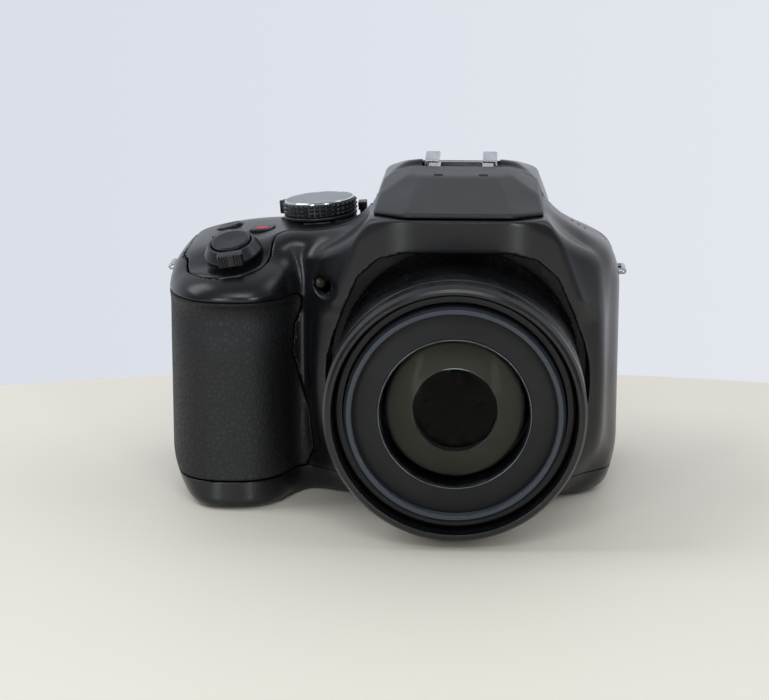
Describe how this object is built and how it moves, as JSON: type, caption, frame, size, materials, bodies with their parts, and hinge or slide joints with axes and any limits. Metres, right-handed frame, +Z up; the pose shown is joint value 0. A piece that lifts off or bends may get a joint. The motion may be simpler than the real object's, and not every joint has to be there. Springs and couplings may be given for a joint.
{
  "type": "bridge camera",
  "caption": "Bridge camera with a deep rubber grip, retracting zoom lens, lifting flash, accessory shoe, mode dial, electronic finder and rear monitor.",
  "frame": {"origin": "mouth of the tripod socket, on the base plane and under the lens axis", "axes": "+X across the body away from the grip, -Y along the lens towards the subject, +Z up"},
  "size_m": [0.1325, 0.1192, 0.093],
  "materials": {
    "casing": "fine matte moulding",
    "flash_casing": "matte moulding",
    "grip_rubber": "pebbled rubber",
    "barrel": "satin black",
    "barrel_front": "satin blue black",
    "inner_black": "dead matt",
    "lens_glass": "coated and polished",
    "steel": "plain",
    "silver": "satin plated",
    "dial_metal": "spun, anodised",
    "dial_side": "knurled",
    "key": "satin",
    "board": "solder mask",
    "screen": "polished",
    "clear": "ribbed clear",
    "reflector": "bright",
    "cell": "label free wrap",
    "lamp": "amber"
  },
  "bodies": {
    "camera": {"front_cover": "casing", "rear_cover": "casing", "top_cover": "casing", "base_cover": "casing", "grip_skin": "grip_rubber", "lens_base": "inner_black", "fixed_barrel": "barrel", "zoom_motor": "steel", "image_sensor": "board", "main_board": "board", "hot_shoe": "silver", "shoe_contacts": "inner_black", "flash_bracket": "steel", "monitor_module": "steel", "monitor_window": "screen", "eyecup": "grip_rubber", "eyepiece_lens": "lens_glass", "battery": "cell", "battery_box": "inner_black", "memory_card": "cell", "tripod_socket": "steel", "strap_lugs": "silver", "lug_plates": "inner_black", "socket_block": "inner_black", "focus_lamp": "lamp"},
    "front_stage": {"front_barrel": "barrel_front", "name_ring": "inner_black", "front_lens": "lens_glass"},
    "zoom_group": {"zoom_cell": "inner_black", "zoom_lens": "lens_glass"},
    "dial": {"mode_dial": "dial_side", "dial_cap": "dial_metal"},
    "flash": {"flash_cover": "flash_casing", "flash_holder": "reflector", "flash_window": "clear"},
    "middle_barrel": {"middle_barrel": "barrel"},
    "cam_tube": {"cam_tube": "steel"},
    "focus_lens": {"focus_lens": "inner_black"},
    "power_lever": {"power_lever": "dial_side"},
    "shutter_button": {"shutter_button": "dial_side"},
    "zoom_lever": {"zoom_lever": "dial_side"},
    "record_button": {"record_button": "key"},
    "burst_button": {"burst_button": "key"},
    "function_button": {"function_button": "key"},
    "flash_lever": {"flash_lever": "dial_side"},
    "rear_dial": {"rear_dial": "dial_side"},
    "dioptre_dial": {"dioptre_dial": "dial_side"},
    "finder_button": {"finder_button": "key"},
    "lock_button": {"lock_button": "key"},
    "play_button": {"play_button": "key"},
    "quick_button": {"quick_button": "key"},
    "menu_button": {"menu_button": "key"},
    "up_key": {"up_key": "key"},
    "down_key": {"down_key": "key"},
    "left_key": {"left_key": "key"},
    "right_key": {"right_key": "key"},
    "display_button": {"display_button": "key"},
    "battery_door": {"battery_door": "casing"},
    "door_latch": {"door_latch": "key"},
    "socket_door": {"socket_door": "casing"}
  },
  "joints": [
    {"name": "zoom_slide", "type": "slide", "parent": "camera", "child": "middle_barrel", "axis": [0, -1, 0], "range_m": [0, 0.034]},
    {"name": "front_slide", "type": "slide", "parent": "middle_barrel", "child": "front_stage", "axis": [0, -1, 0], "range_m": [0, 0.034]},
    {"name": "cam_turn", "type": "hinge", "parent": "camera", "child": "cam_tube", "pos_m": [0, -0.04, 0.037], "axis": [0, -1, 0], "range_deg": [0, 121]},
    {"name": "zoom_lens_slide", "type": "slide", "parent": "camera", "child": "zoom_group", "axis": [0, -1, 0], "range_m": [0, 0.0103]},
    {"name": "focus_slide", "type": "slide", "parent": "camera", "child": "focus_lens", "axis": [0, -1, 0], "range_m": [0, 0.006]},
    {"name": "dial_turn", "type": "hinge", "parent": "camera", "child": "dial", "pos_m": [-0.0404, -0.0039, 0.07596], "axis": [-0.0785, 0, 0.9969], "continuous": true},
    {"name": "power_turn", "type": "hinge", "parent": "camera", "child": "power_lever", "pos_m": [-0.0404, -0.0039, 0.07596], "axis": [-0.0785, 0, 0.9969], "range_deg": [0, 35]},
    {"name": "shutter_press", "type": "slide", "parent": "camera", "child": "shutter_button", "axis": [0.154, 0.293, -0.9436], "range_m": [0, 0.001], "stiffness_N_per_m": 900},
    {"name": "zoom_lever_turn", "type": "hinge", "parent": "camera", "child": "zoom_lever", "pos_m": [-0.0631, -0.0287, 0.06975], "axis": [-0.154, -0.293, 0.9436], "range_deg": [-20, 20], "stiffness_Nm_per_rad": 0.05},
    {"name": "record_press", "type": "slide", "parent": "camera", "child": "record_button", "axis": [0.0782, 0.0889, -0.993], "range_m": [0, 0.0006], "stiffness_N_per_m": 1200},
    {"name": "burst_press", "type": "slide", "parent": "camera", "child": "burst_button", "axis": [0.2745, 0.0889, -0.9575], "range_m": [0, 0.0006], "stiffness_N_per_m": 1200},
    {"name": "function_press", "type": "slide", "parent": "camera", "child": "function_button", "axis": [0.2745, 0.0889, -0.9575], "range_m": [0, 0.0006], "stiffness_N_per_m": 1200},
    {"name": "flash_lift", "type": "hinge", "parent": "camera", "child": "flash", "pos_m": [0, -0.005, 0.0876], "axis": [-1, 0, 0], "range_deg": [0, 45]},
    {"name": "flash_lever_slide", "type": "slide", "parent": "camera", "child": "flash_lever", "axis": [0, 1, 0], "range_m": [0, 0.0012], "stiffness_N_per_m": 600},
    {"name": "rear_dial_turn", "type": "hinge", "parent": "camera", "child": "rear_dial", "pos_m": [-0.0583, 0.0178, 0.0565], "axis": [0, 0, 1], "continuous": true},
    {"name": "dioptre_turn", "type": "hinge", "parent": "camera", "child": "dioptre_dial", "pos_m": [0.018, 0.029, 0.076], "axis": [1, 0, 0], "range_deg": [-90, 90]},
    {"name": "finder_press", "type": "slide", "parent": "camera", "child": "finder_button", "axis": [0, -0.4772, -0.8788], "range_m": [0, 0.0006], "stiffness_N_per_m": 1200},
    {"name": "lock_press", "type": "slide", "parent": "camera", "child": "lock_button", "axis": [0, -0.4772, -0.8788], "range_m": [0, 0.0006], "stiffness_N_per_m": 1200},
    {"name": "play_press", "type": "slide", "parent": "camera", "child": "play_button", "axis": [0, -1, 0], "range_m": [0, 0.0006], "stiffness_N_per_m": 1200},
    {"name": "quick_press", "type": "slide", "parent": "camera", "child": "quick_button", "axis": [0, -1, 0], "range_m": [0, 0.0006], "stiffness_N_per_m": 1200},
    {"name": "menu_press", "type": "slide", "parent": "camera", "child": "menu_button", "axis": [0, -1, 0], "range_m": [0, 0.0006], "stiffness_N_per_m": 1200},
    {"name": "up_press", "type": "slide", "parent": "camera", "child": "up_key", "axis": [0, -1, 0], "range_m": [0, 0.0006], "stiffness_N_per_m": 1200},
    {"name": "down_press", "type": "slide", "parent": "camera", "child": "down_key", "axis": [0, -1, 0], "range_m": [0, 0.0006], "stiffness_N_per_m": 1200},
    {"name": "left_press", "type": "slide", "parent": "camera", "child": "left_key", "axis": [0, -1, 0], "range_m": [0, 0.0006], "stiffness_N_per_m": 1200},
    {"name": "right_press", "type": "slide", "parent": "camera", "child": "right_key", "axis": [0, -1, 0], "range_m": [0, 0.0006], "stiffness_N_per_m": 1200},
    {"name": "display_press", "type": "slide", "parent": "camera", "child": "display_button", "axis": [0, -1, 0], "range_m": [0, 0.0006], "stiffness_N_per_m": 1200},
    {"name": "battery_door_swing", "type": "hinge", "parent": "camera", "child": "battery_door", "pos_m": [-0.0483, -0.0075, 0.0016], "axis": [0, -1, 0], "range_deg": [0, 95]},
    {"name": "latch_slide", "type": "slide", "parent": "battery_door", "child": "door_latch", "axis": [1, 0, 0], "range_m": [0, 0.002], "stiffness_N_per_m": 300},
    {"name": "socket_door_swing", "type": "hinge", "parent": "camera", "child": "socket_door", "pos_m": [-0.07744, 0.01453, 0.042], "axis": [0, 0, -1], "range_deg": [0, 95]}
  ],
  "couplings": [
    {"joint": "front_slide", "follows": "zoom_slide", "ratio": 1},
    {"joint": "cam_turn", "follows": "zoom_slide", "rad_per_m": 61.6},
    {"joint": "zoom_lens_slide", "follows": "zoom_slide", "ratio": 0.3}
  ]
}
